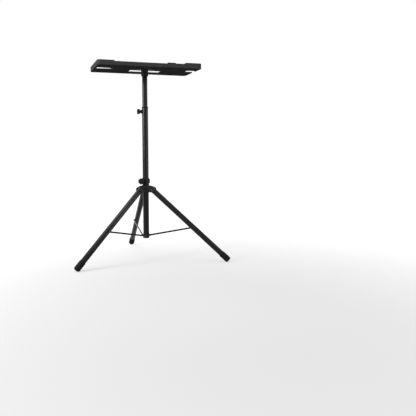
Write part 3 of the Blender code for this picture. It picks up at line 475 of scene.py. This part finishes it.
def threaded(radius, low, high, thread_high, pitch=0.00125, depth=0.0005):
    """A screw's profile from its chamfered end, threaded as far as thread_high, then plain."""
    points = [(0, low), (radius - 0.0010, low), (radius, low + 0.0010)]
    z = low + 0.0010
    while z + pitch < thread_high:
        points.append((radius, z + 0.25 * pitch))
        points.append((radius - depth, z + 0.55 * pitch))
        points.append((radius, z + 0.85 * pitch))
        z += pitch
    points.extend([(radius, high), (0, high)])
    return points


fitted(
    "height_screw",
    lathe(
        threaded(radius=0.004, low=0.0153, high=0.0378, thread_high=0.0260),
        round_off=THREAD_EDGE, count=48,
    ),
    lock_place, zinc, "height_knob", "plated_steel", "height_lock_screw",
)

weld = bmesh.new()
bead = []
for i in range(WELD_STEPS):
    around = 2 * math.pi * i / WELD_STEPS
    y = (BOSS_R + 0.0002) * math.cos(around)
    z = (BOSS_R + 0.0002) * math.sin(around)
    centre = Vector((-math.sqrt((OUTER_R + 0.0004) ** 2 - y * y), y, z + LOCK_Z))
    out = Vector((0, math.cos(around), math.sin(around)))
    ripple = WELD_R * (1 + 0.12 * math.cos(24 * around))
    ring = []
    for k in range(WELD_SIDES):
        angle = 2 * math.pi * k / WELD_SIDES
        offset = out * math.cos(angle) + Vector(LEFT) * math.sin(angle)
        ring.append(weld.verts.new(centre + offset * ripple))
    bead.append(ring)
for i, ring in enumerate(bead):
    after = bead[(i + 1) % len(bead)]
    for k in range(WELD_SIDES):
        m = (k + 1) % WELD_SIDES
        weld.faces.new((ring[k], ring[m], after[m], after[k]))
fitted("boss_weld", outward(weld), MAST, steel, "base", "black_steel")


def dressed(node, finish):
    """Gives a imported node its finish."""
    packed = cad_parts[node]
    packed.data.materials.clear()
    packed.data.materials.append(finish)


dressed("height_lock_boss", steel)


# Stay collar: a pressed steel ring with three folded lugs, welded round the foot of the outer tube
# and coated with it. A blackened rivet through each lug is the lower hinge of a stay.
dressed("stay_collar", steel)


def blackened_steel():
    """Oxide blackened steel: brown black, oily, with a bright rub on the edges."""
    oxide = Finish("blackened_steel", metallic=0.85)
    cloud = oxide.grain(300, 4.0)
    edge = oxide.edges(0.0005)
    black = oxide.blend(cloud, (0.030, 0.029, 0.028, 1), (0.052, 0.050, 0.048, 1))
    colour = oxide.blend(edge * 0.7, black, (0.17, 0.165, 0.16, 1))
    return oxide.finished(colour, 0.36 + cloud * 0.16, oxide.grain(1500, 2.0), 0.00003)


oxide = blackened_steel()


BRACE_Z = middle("stay_pin_rear").z
BRACE_R = middle("stay_pin_rear").y - MAST_Y
RIVET_R = 0.0025
RIVET_EDGE = 0.0001
AZIMUTHS = {"left": 210.0, "rear": 90.0, "right": 330.0}
PIN_LOW = 0.0123
PIN_HIGH = 0.0216


def headed_pin(radius, head_radius, head, low, high):
    """A rivet's profile along Z, with a low dome past each end."""
    return [
        (0, low - head),
        (0.45 * head_radius, low - 0.92 * head),
        (0.80 * head_radius, low - 0.60 * head),
        (head_radius, low - 0.15 * head),
        (head_radius, low),
        (radius, low),
        (radius, high),
        (head_radius, high),
        (head_radius, high + 0.15 * head),
        (0.80 * head_radius, high + 0.60 * head),
        (0.45 * head_radius, high + 0.92 * head),
        (0, high + head),
    ]


def upright_at(azimuth, radius, height):
    """A place on the mast's side, its X outward at this azimuth."""
    turn = Matrix.Rotation(math.radians(azimuth), 4, "Z")
    return MAST @ turn @ Matrix.Translation((radius, 0, height))


ACROSS = Vector((0, 1, 0)).to_track_quat("Z", "Y").to_matrix().to_4x4()
for side, azimuth in AZIMUTHS.items():
    fitted(
        "lower_rivet_" + side,
        lathe(
            headed_pin(radius=RIVET_R, head_radius=0.0033, head=0.0012, low=PIN_LOW, high=PIN_HIGH),
            round_off=RIVET_EDGE, count=40,
        ),
        upright_at(azimuth, BRACE_R, BRACE_Z) @ ACROSS,
        oxide, "base", "blackened_steel", "stay_pin_" + side,
    )


# Hub: one glass filled nylon moulding that slides on the outer tube and carries the legs in three
# forks. Its split sleeve above is drawn together by a star knob on a plated bolt with a nut.
dressed("leg_hub", nylon)
HUB_Z = middle("leg_rivet_rear").z
LEG_R = middle("leg_rivet_rear").y - MAST_Y
FORK_HALF = 0.0198
for side, azimuth in AZIMUTHS.items():
    fitted(
        "fork_rivet_" + side,
        lathe(
            headed_pin(radius=0.003, head_radius=0.0055, head=0.002, low=-FORK_HALF, high=FORK_HALF),
            round_off=RIVET_EDGE, count=48,
        ),
        upright_at(azimuth, LEG_R, HUB_Z) @ ACROSS,
        oxide, "hub", "blackened_steel", "leg_rivet_" + side,
    )

FRONT = (0, -1, 0)
EAR_FACE = 0.0075
NUT_START = -0.0128
bolt_middle = middle("hub_clamp_bolt")
clamp_place = pointing(FRONT, (bolt_middle.x, 0, bolt_middle.z))
fitted(
    "clamp_knob_grip",
    star_grip(radius=0.0185, length=0.024, neck=0.0075, lobes=7, centre_cap=0.40),
    clamp_place @ Matrix.Translation((0, 0, EAR_FACE + FIT_GAP)),
    nylon, "clamp_knob", "black_plastic", "hub_clamp_knob",
)
fitted(
    "clamp_bolt",
    lathe(
        threaded(radius=0.003, low=NUT_START - 0.002, high=0.0222, thread_high=0.004, pitch=0.001),
        round_off=THREAD_EDGE, count=48,
    ),
    clamp_place, zinc, "clamp_knob", "plated_steel", "hub_clamp_bolt",
)


def hexagon_radius(angle, radius):
    """Distance from the axis to a hexagon's side at this angle."""
    return radius * math.cos(math.pi / 6) / math.cos(angle % (math.pi / 3) - math.pi / 6)


def hexagon_nut(radius, thickness, bore):
    """A chamfered nut along +Z from 0."""
    count = 72
    bm = bmesh.new()
    flat = radius * math.cos(math.pi / 6)
    stations = [
        (0.0, bore, 1.0),
        (0.0, flat * 0.98, 1.0),
        (0.0006, 0.0, 0.0),
        (thickness - 0.0006, 0.0, 0.0),
        (thickness, flat * 0.98, 1.0),
        (thickness, bore, 1.0),
    ]
    rings = []
    for z, size, round_share in stations:
        ring = []
        for i in range(count):
            angle = 2 * math.pi * i / count
            r = size if round_share else hexagon_radius(angle, radius)
            ring.append(bm.verts.new((r * math.cos(angle), r * math.sin(angle), z)))
        rings.append(ring)
    for lower, upper in zip(rings, rings[1:] + rings[:1]):
        for i in range(count):
            j = (i + 1) % count
            bm.faces.new((lower[i], lower[j], upper[j], upper[i]))
    return outward(bm)


fitted(
    "clamp_nut",
    hexagon_nut(0.0056, 0.005, 0.0032),
    clamp_place @ Matrix.Translation((0, 0, NUT_START)),
    zinc, "hub", "plated_steel", "hub_clamp_nut",
)


# Legs: three drawn steel tubes of 32 mm, coated black, each with a moulded plug hammered into its
# upper end and a moulded rubber foot pushed over the lower one, cut flat where it stands.
SPREAD = math.radians(48.7)
LEG_LENGTH = 0.606
LEG_TUBE_R = 0.016
LEG_BORE = 0.0148
LEG_TOP = 0.0095
LEG_END = -0.5937
FOOT_LENGTH = 0.046
FOOT_R = 0.0181
FOOT_DOME = 0.010
SOLE = 0.012
GROOVE_DEPTH = 0.0009


def foot_rubber():
    """Black moulded rubber: matt and mealy, dusty grey where it meets the ground."""
    rubber = Finish("black_foot_rubber", specular=0.10)
    meal = rubber.grain(1100, 4.0)
    cloud = rubber.grain(45, 4.0)
    height = rubber.node("ShaderNodeSeparateXYZ", {}, {"Vector": rubber.place})["Z"]
    dust = (rubber.step(height * -1.0, -0.016, -0.001) * (0.35 + cloud)).limited()
    edge = rubber.edges(0.0012)
    black = rubber.blend(cloud, (0.0045, 0.0045, 0.0045, 1), (0.0090, 0.0090, 0.0090, 1))
    dusty = rubber.blend(dust * 0.5, black, (0.040, 0.038, 0.035, 1))
    colour = rubber.blend(edge * 0.35, dusty, (0.024, 0.024, 0.024, 1))
    roughness = 0.68 + cloud * 0.18 + dust * 0.08
    return rubber.finished(colour, roughness, meal, 0.00010, soft_edge=0.0005)


rubber = foot_rubber()


def foot_cap():
    """The foot's profile: a rolled lip, three grip grooves and a domed end."""
    points = [(0, -LEG_LENGTH)]
    for i in range(1, 9):
        angle = math.radians(90 * i / 8)
        r = FOOT_R - FOOT_DOME + FOOT_DOME * math.sin(angle)
        points.append((r, -LEG_LENGTH + FOOT_DOME - FOOT_DOME * math.cos(angle)))
    top = -(LEG_LENGTH - FOOT_LENGTH - SOLE)
    for groove in range(3):
        z = -LEG_LENGTH + 0.020 + 0.0105 * groove
        points.append((FOOT_R, z))
        points.append((FOOT_R - GROOVE_DEPTH, z + 0.0009))
        points.append((FOOT_R - GROOVE_DEPTH, z + 0.0021))
        points.append((FOOT_R, z + 0.0030))
    points.extend(
        [
            (FOOT_R, top - 0.0020),
            (FOOT_R - 0.0006, top),
            (LEG_TUBE_R + FIT_GAP, top),
            (LEG_TUBE_R + FIT_GAP, -LEG_LENGTH + SOLE),
            (0, -LEG_LENGTH + SOLE),
        ]
    )
    return points


for side, azimuth in AZIMUTHS.items():
    leg_place = upright_at(azimuth, LEG_R, HUB_Z) @ Matrix.Rotation(-SPREAD, 4, "Y")
    body = "leg_" + side
    fitted(
        body + "_tube",
        lathe(tube_profile(LEG_BORE, LEG_TUBE_R, LEG_END, LEG_TOP), closed=True),
        leg_place, steel, body, "black_steel", "leg_tube_" + side,
    )
    fitted(
        body + "_top_plug",
        lathe(
            [
                (0, 0.0040),
                (0.0145, 0.0040),
                (0.0145, 0.0098),
                (0.0160, 0.0098),
                (0.0158, 0.0108),
                (0.0140, 0.0122),
                (0.0100, 0.0131),
                (0, 0.0133),
            ]
        ),
        leg_place, nylon, body, "black_plastic", "leg_plug_" + side,
    )
    foot = lathe(foot_cap(), round_off=0.0006)
    foot.transform(leg_place)
    for vert in foot.verts:
        vert.co.z = max(vert.co.z, 0.0)
    fitted(
        body + "_rubber", foot,
        Matrix.Identity(4), rubber, body, "black_rubber", "leg_foot_" + side,
    )


# Stays: 9.5 mm strips pressed from sheet steel into a shallow channel for stiffness, open towards
# the leg, coated black. Each turns on a collar rivet below and on a leg rivet above.
STAY_HALF = 0.00475
STAY_LOW = 0.0163
STAY_HIGH = 0.0213
SHEET = 0.0012
STAY_REACH = middle("stay_rivet_rear").y - MAST_Y - BRACE_R
STAY_RISE = middle("stay_rivet_rear").z - BRACE_Z
STAY_LENGTH = math.hypot(STAY_REACH, STAY_RISE)
STAY_ANGLE = math.atan2(STAY_REACH, STAY_RISE)


def stay_outline(half, y, end_steps=14):
    """A round-ended bar from pivot to pivot, seen from the side, at one distance from the leg."""
    points = []
    for start, height in ((0, STAY_LENGTH), (180, 0.0)):
        for i in range(end_steps + 1):
            angle = math.radians(start + 180 * i / end_steps)
            points.append((half * math.cos(angle), y, height + half * math.sin(angle)))
    return points


def pressed_channel():
    """The strip's skin, from the middle of its inner face over the rim to its outer face."""
    bend = 0.0009
    half_in = STAY_HALF - SHEET
    inner_face = STAY_HIGH - SHEET
    sections = [
        (half_in - bend, inner_face),
        (half_in - 0.3 * bend, inner_face - 0.3 * bend),
        (half_in, inner_face - bend),
        (half_in, STAY_LOW + 0.0003),
        (half_in + 0.0002, STAY_LOW),
        (STAY_HALF - 0.0002, STAY_LOW),
        (STAY_HALF, STAY_LOW + 0.0003),
        (STAY_HALF, STAY_HIGH - 1.6 * bend),
        (STAY_HALF - 0.25 * bend, STAY_HIGH - 0.7 * bend),
        (STAY_HALF - 0.75 * bend, STAY_HIGH - 0.2 * bend),
        (STAY_HALF - 1.6 * bend, STAY_HIGH),
    ]
    bm = bmesh.new()
    rings = [[bm.verts.new(point) for point in stay_outline(*section)] for section in sections]
    for lower, upper in zip(rings, rings[1:]):
        for i in range(len(lower)):
            j = (i + 1) % len(lower)
            bm.faces.new((lower[i], lower[j], upper[j], upper[i]))
    bm.faces.new(reversed(rings[0]))
    bm.faces.new(rings[-1])
    return outward(bm)


for side, azimuth in AZIMUTHS.items():
    stay_place = upright_at(azimuth, BRACE_R, BRACE_Z) @ Matrix.Rotation(STAY_ANGLE, 4, "Y")
    body = "brace_" + side
    fitted(
        body + "_strip", pressed_channel(),
        stay_place, steel, body, "black_steel", "stay_" + side,
    )
    fitted(
        body + "_rivet",
        lathe(
            [
                (0, STAY_LOW),
                (0.00325, STAY_LOW),
                (0.00325, STAY_HIGH - 0.0015),
                (0.0025, STAY_HIGH - 0.0015),
                (0.0025, STAY_HIGH + FIT_GAP),
                (0.0045, STAY_HIGH + FIT_GAP),
                (0.0044, STAY_HIGH + 0.0009),
                (0.0034, STAY_HIGH + 0.0017),
                (0.0018, STAY_HIGH + 0.00196),
                (0, STAY_HIGH + 0.0020),
            ],
            round_off=RIVET_EDGE,
            count=40,
        ),
        stay_place @ Matrix.Translation((0, 0, STAY_LENGTH)) @ ACROSS,
        oxide, body, "blackened_steel", "stay_rivet_" + side,
    )


# Socket: a nylon moulding with a sleeve that drops over the inner tube and a plate that carries the
# tray. A small star knob at its rear clamps the tube, and four black pan head screws hold the tray.
SOCKET_LOCK_Z = middle("socket_lock_screw").z
SCREW_BITE = 0.0030
dressed("desk_socket", nylon)
SOCKET_BOSS_END = 0.0265
REAR = (0, 1, 0)
socket_place = pointing(REAR, (0, 0, SOCKET_LOCK_Z))
fitted(
    "socket_knob_grip",
    star_grip(radius=0.011, length=0.014, neck=0.006, lobes=6, centre_cap=0.42),
    socket_place @ Matrix.Translation((0, 0, SOCKET_BOSS_END + FIT_GAP)),
    nylon, "socket_knob", "black_plastic", "socket_lock_knob",
)
fitted(
    "socket_screw",
    lathe(
        threaded(radius=0.003, low=0.0153, high=0.0352, thread_high=0.0270, pitch=0.001),
        round_off=THREAD_EDGE, count=48,
    ),
    socket_place, zinc, "socket_knob", "plated_steel", "socket_lock_screw",
)


def pan_head_screw():
    """A screw pointing up from its head: domed head with a hexagon socket, and a plain shank."""
    count = 48
    head_top = -0.0046
    stations = [
        (-0.0012 + head_top, 0.0012, True),
        (-0.0021 + head_top, 0.0012, True),
        (-0.0021 + head_top, 0.00155, False),
        (-0.0019 + head_top, 0.0024, False),
        (-0.0014 + head_top, 0.0034, False),
        (-0.0007 + head_top, 0.0039, False),
        (head_top, 0.0040, False),
        (head_top, 0.0020, False),
        (SCREW_BITE - 0.0004, 0.0020, False),
        (SCREW_BITE, 0.0016, False),
    ]
    bm = bmesh.new()
    rings = []
    for z, size, hexagonal in stations:
        ring = []
        for i in range(count):
            angle = 2 * math.pi * i / count
            r = hexagon_radius(angle, size) if hexagonal else size
            ring.append(bm.verts.new((r * math.cos(angle), r * math.sin(angle), z)))
        rings.append(ring)
    for lower, upper in zip(rings, rings[1:]):
        for i in range(count):
            j = (i + 1) % count
            bm.faces.new((lower[i], lower[j], upper[j], upper[i]))
    bm.faces.new(reversed(rings[0]))
    bm.faces.new(rings[-1])
    return outward(bm)


for place in ("front_left", "front_right", "rear_left", "rear_right"):
    node = "tray_screw_" + place
    tip = middle(node)
    tip.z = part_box(node)[1].z
    fitted(
        "pan_screw_" + place,
        pan_head_screw(),
        Matrix.Translation(tip) @ Matrix.Translation((0, 0, -SCREW_BITE)),
        oxide, "desk", "blackened_steel", node,
    )


# Tray: one large injection moulding in charcoal plastic, with a rim, a skirt, shallow bays that
# keep things from sliding, openings for cables and hands, and shallow cells between ribs below.
def tray_moulding():
    """Charcoal moulding: leathery eroded grain, faint flow marks, scuffs and rubbed edges."""
    tray = Finish("charcoal_tray_moulding", specular=0.0)
    pit = tray.node(
        "ShaderNodeTexVoronoi",
        {"feature": "SMOOTH_F1"},
        {"Vector": tray.place, "Scale": 900.0, "Smoothness": 0.6},
    )["Distance"]
    flow = tray.grain(5, 3.0, (1, 2.2, 1))
    cloud = tray.grain(28, 5.0)
    scuff = tray.step(tray.grain(120, 6.0, (0.25, 1, 1)), 0.63, 0.72)
    edge = tray.edges(0.0016)
    deep = tray.blend(flow, (0.036, 0.0363, 0.0370, 1), (0.050, 0.0504, 0.0515, 1))
    mottled = tray.blend(cloud * 0.5, deep, (0.058, 0.0584, 0.0595, 1))
    scuffed = tray.blend(scuff * 0.30, mottled, (0.085, 0.085, 0.086, 1))
    colour = tray.blend(edge * 0.40, scuffed, (0.110, 0.111, 0.113, 1))
    roughness = 0.70 + cloud * 0.10 + scuff * 0.06 - edge * 0.08
    return tray.finished(colour, roughness, pit, 0.00006, soft_edge=0.0010)


dressed("desk_tray", tray_moulding())


# Floor, light and camera: a plain pale sweep under soft light from above, the left and the front
# right, seen from low down and a little to the left with a slightly long lens.
def sweep_finish():
    """Pale and matt. Seen straight, mirrored or through things it is lifted, to white far away."""
    pale = Finish("pale_floor")
    tree = pale.tree
    tree.nodes.remove(pale.shader)
    away = pale.node(
        "ShaderNodeVectorMath", {"operation": "DISTANCE"}, {0: pale.place, 1: (0, -1.3, 0)}
    )["Value"]
    far = pale.step(away, 0.3, 3.2)
    matt = pale.node("ShaderNodeBsdfDiffuse", {}, {"Color": (0.22, 0.22, 0.22, 1)})["BSDF"]
    lift = pale.node("ShaderNodeEmission", {}, {"Strength": 0.50 + far * 0.46})["Emission"]
    lifted = pale.node("ShaderNodeAddShader", {}, {0: matt, 1: lift})["Shader"]
    ray = pale.node("ShaderNodeLightPath")
    seen = (ray["Is Camera Ray"] + ray["Is Glossy Ray"] + ray["Is Transmission Ray"]).limited()
    surface = pale.node("ShaderNodeMixShader", {}, {0: seen, 1: matt, 2: lifted})["Shader"]
    pale.feed(tree.nodes["Material Output"].inputs["Surface"], surface)
    return pale.material


FLOOR_HALF = 12
floor_mesh = bpy.data.meshes.new("floor")
floor_mesh.from_pydata(
    [(x * FLOOR_HALF, y * FLOOR_HALF, 0) for x, y in ((-1, -1), (1, -1), (1, 1), (-1, 1))],
    [],
    [(0, 1, 2, 3)],
)
floor_mesh.materials.append(sweep_finish())
floor = bpy.data.objects.new("floor", floor_mesh)
bpy.context.scene.collection.objects.link(floor)

# The room around is white wherever it is seen, straight, mirrored or through things, and gives a
# dimmer light of its own.
world = bpy.data.worlds.new("white_studio")
bpy.context.scene.world = world
world.use_nodes = True
sky = world.node_tree
ray = sky.nodes.new("ShaderNodeLightPath")
dim = sky.nodes["Background"]
white = sky.nodes.new("ShaderNodeBackground")
dim.inputs["Color"].default_value = (0.28, 0.28, 0.28, 1)
white.inputs["Color"].default_value = (1, 1, 1, 1)
shown = dim
for kind in ("Is Camera Ray", "Is Glossy Ray", "Is Transmission Ray"):
    swap = sky.nodes.new("ShaderNodeMixShader")
    sky.links.new(ray.outputs[kind], swap.inputs[0])
    sky.links.new(shown.outputs[0], swap.inputs[1])
    sky.links.new(white.outputs[0], swap.inputs[2])
    shown = swap
sky.links.new(shown.outputs[0], sky.nodes["World Output"].inputs["Surface"])


def soft_lamp(name, place, aim, size, power):
    lamp = bpy.data.lights.new(name, "AREA")
    lamp.shape = "RECTANGLE"
    lamp.size, lamp.size_y = size
    lamp.energy = power
    obj = bpy.data.objects.new(name, lamp)
    obj.location = place
    way = Vector(aim) - Vector(place)
    obj.rotation_euler = way.to_track_quat("-Z", "Y").to_euler()
    bpy.context.scene.collection.objects.link(obj)


soft_lamp("overhead", place=(-0.4, 0.0, 3.1), aim=(-0.1, -0.1, 0.6), size=(3.0, 2.6), power=105)
soft_lamp("key_left", place=(-3.4, -1.2, 1.7), aim=(0, -0.1, 0.9), size=(1.2, 2.0), power=150)
soft_lamp("front_right", place=(2.5, -1.9, 0.9), aim=(0, -0.1, 0.6), size=(0.9, 1.8), power=30)

camera = bpy.data.objects.new("camera", bpy.data.cameras.new("camera"))
camera.location = (-0.6695, -3.3433, 0.6718)
camera.rotation_euler = tuple(map(math.radians, (83.5522, -0.1260, -18.1251)))
camera.data.sensor_width = 36.0
camera.data.lens = 48.092
bpy.context.scene.collection.objects.link(camera)
bpy.context.scene.camera = camera
bpy.context.scene.view_settings.view_transform = "Standard"
